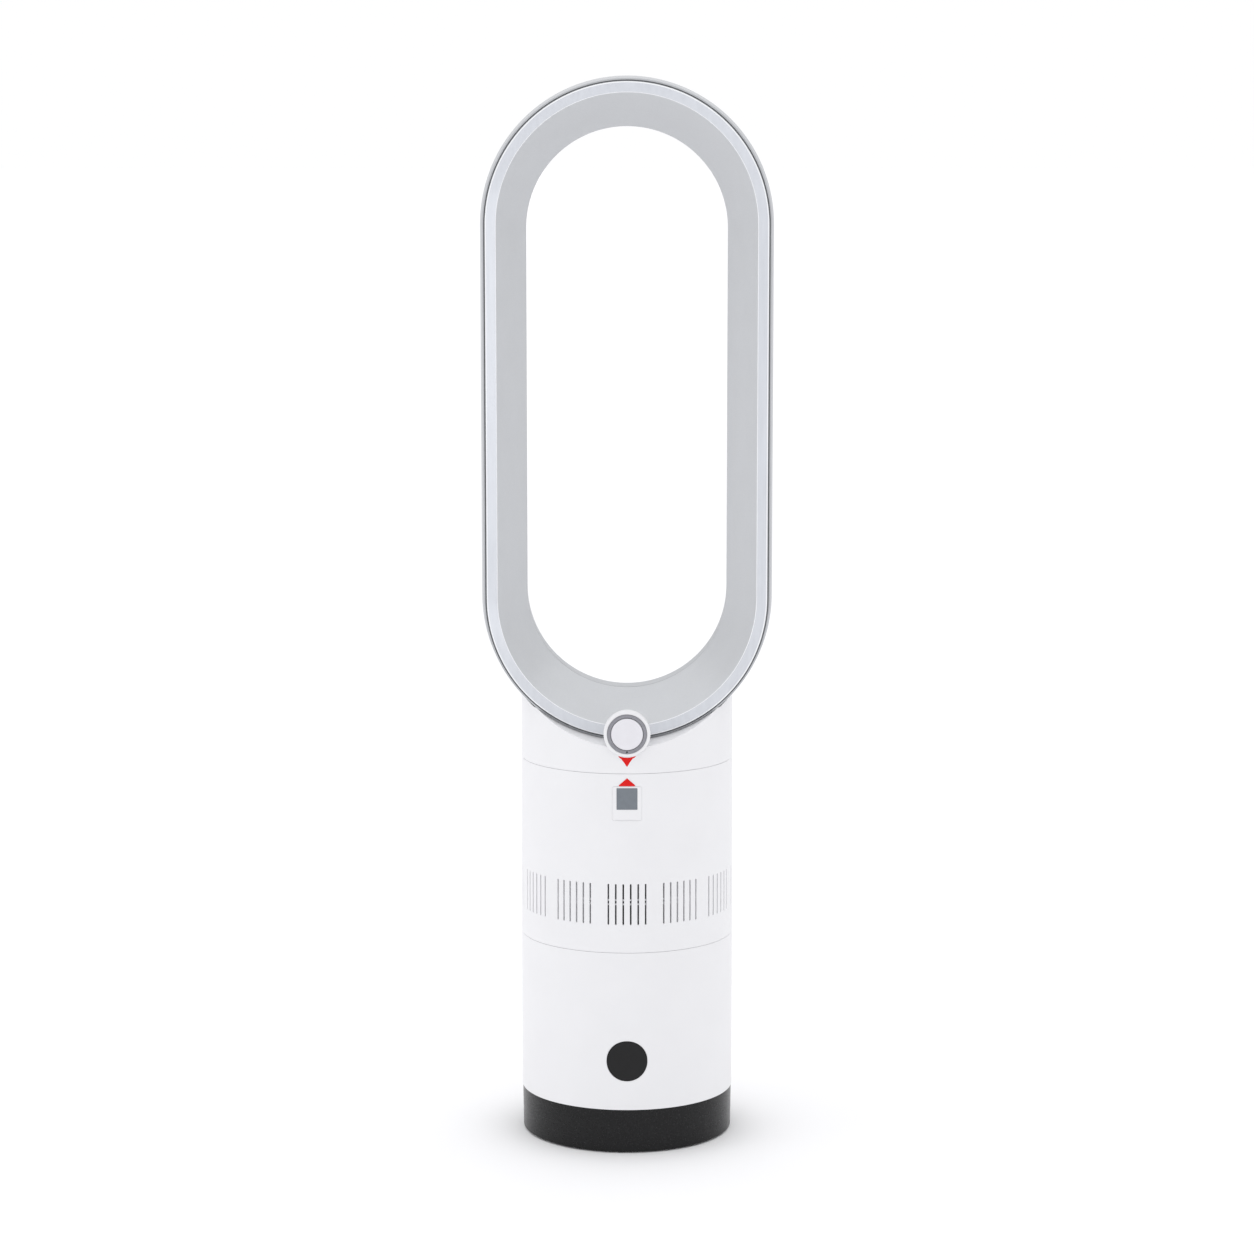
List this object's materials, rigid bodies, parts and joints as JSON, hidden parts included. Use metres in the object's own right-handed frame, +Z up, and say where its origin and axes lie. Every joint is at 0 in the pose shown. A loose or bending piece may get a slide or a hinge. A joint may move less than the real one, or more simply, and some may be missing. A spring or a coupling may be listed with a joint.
{
  "type": "bladeless column fan",
  "caption": "Free-standing bladeless fan: a turning white column with air slits on a black foot carries a tall stadium-shaped air loop, with a round power button at the neck.",
  "frame": {"origin": "on the floor, under the middle of the column", "axes": "+Z up, -Y towards the front with the display and the power button, +X to the viewer's right when facing the front"},
  "size_m": [0.248, 0.1908, 0.9152],
  "materials": {
    "black_abs": "satin moulded ABS",
    "white_abs": "satin-gloss moulded ABS",
    "silver_paint": "satin silver paint on ABS",
    "pearl_paint": "gloss pale silver paint on ABS",
    "dark_seal": "matt",
    "rubber": "matt",
    "cast_iron": "as cast",
    "window_plastic": "dark infrared-pass plastic",
    "display_tint": "tinted lens",
    "circuit_board": "solder mask",
    "electronics": "moulded",
    "grey_nylon": "moulded nylon and acetal",
    "zinc_steel": "zinc plated",
    "bright_steel": "bright",
    "brass_pins": "plated",
    "motor_core": "laminated",
    "copper_wire": "enamelled wire",
    "grey_abs": "moulded ABS",
    "screen_mesh": "woven screen",
    "button_plastic": "satin",
    "led_lens": "smoked lens"
  },
  "bodies": {
    "base": {"foot_ring": "black_abs", "foot_pads": "rubber", "base_weight": "cast_iron", "base_housing": "white_abs", "foot_screws": "zinc_steel", "sensor_window": "window_plastic", "receiver_board": "circuit_board", "receiver_posts": "grey_nylon", "power_board": "circuit_board", "board_stand_offs": "grey_nylon", "board_components": "electronics", "inlet_socket": "electronics", "inlet_pins": "brass_pins", "deck": "grey_abs", "deck_screws": "zinc_steel", "glide_ring": "grey_nylon", "retaining_washer": "zinc_steel", "washer_screws": "zinc_steel", "swing_motor": "zinc_steel"},
    "pinion": {"drive_pinion": "grey_nylon", "swing_shaft": "bright_steel"},
    "column": {"ring_gear": "grey_nylon", "swivel_plate": "grey_abs", "pivot_bush": "grey_nylon", "motor_housing": "white_abs", "intake_screen": "screen_mesh", "duct_shroud": "grey_abs", "motor_stator": "motor_core", "motor_windings": "copper_wire", "lower_bearing": "bright_steel", "upper_bearing": "bright_steel", "motor_bucket": "zinc_steel", "nose_cone": "grey_abs", "mount_rings": "rubber", "diffuser": "grey_abs", "motor_board": "circuit_board", "display_frame": "white_abs", "display_window": "display_tint", "display_board": "circuit_board", "lock_collar": "grey_nylon"},
    "fan": {"impeller": "grey_abs", "motor_shaft": "bright_steel", "impeller_nut": "zinc_steel", "motor_rotor": "motor_core"},
    "head": {"neck_housing": "white_abs", "bayonet_ring": "grey_nylon", "neck_screws": "zinc_steel", "loop_rear_shell": "pearl_paint", "loop_front_shell": "silver_paint", "seam_strip": "dark_seal", "port_gasket": "dark_seal", "button_bezel": "white_abs", "button_trim_ring": "bright_steel", "status_light": "led_lens", "switch_board": "circuit_board", "button_spring": "bright_steel"},
    "button": {"power_button": "button_plastic"}
  },
  "joints": [
    {"name": "swing", "type": "hinge", "parent": "base", "child": "column", "pos_m": [0, 0, 0.172], "axis": [0, 0, 1], "range_deg": [-40, 40]},
    {"name": "pinion_turn", "type": "hinge", "parent": "base", "child": "pinion", "pos_m": [0, 0.048, 0.1685], "axis": [0, 0, 1], "range_deg": [-201, 201]},
    {"name": "fan_spin", "type": "hinge", "parent": "column", "child": "fan", "pos_m": [0, 0, 0.28], "axis": [0, 0, 1], "continuous": true},
    {"name": "twist_lock", "type": "hinge", "parent": "column", "child": "head", "pos_m": [0, 0, 0.3319], "axis": [0, 0, 1], "range_deg": [0, 24]},
    {"name": "button_press", "type": "slide", "parent": "head", "child": "button", "axis": [0, 1, 0], "range_m": [0, 0.0012], "stiffness_N_per_m": 400, "springref_m": -0.001, "deforming": ["button_spring"]}
  ],
  "couplings": [
    {"joint": "pinion_turn", "follows": "swing", "ratio": 5}
  ]
}
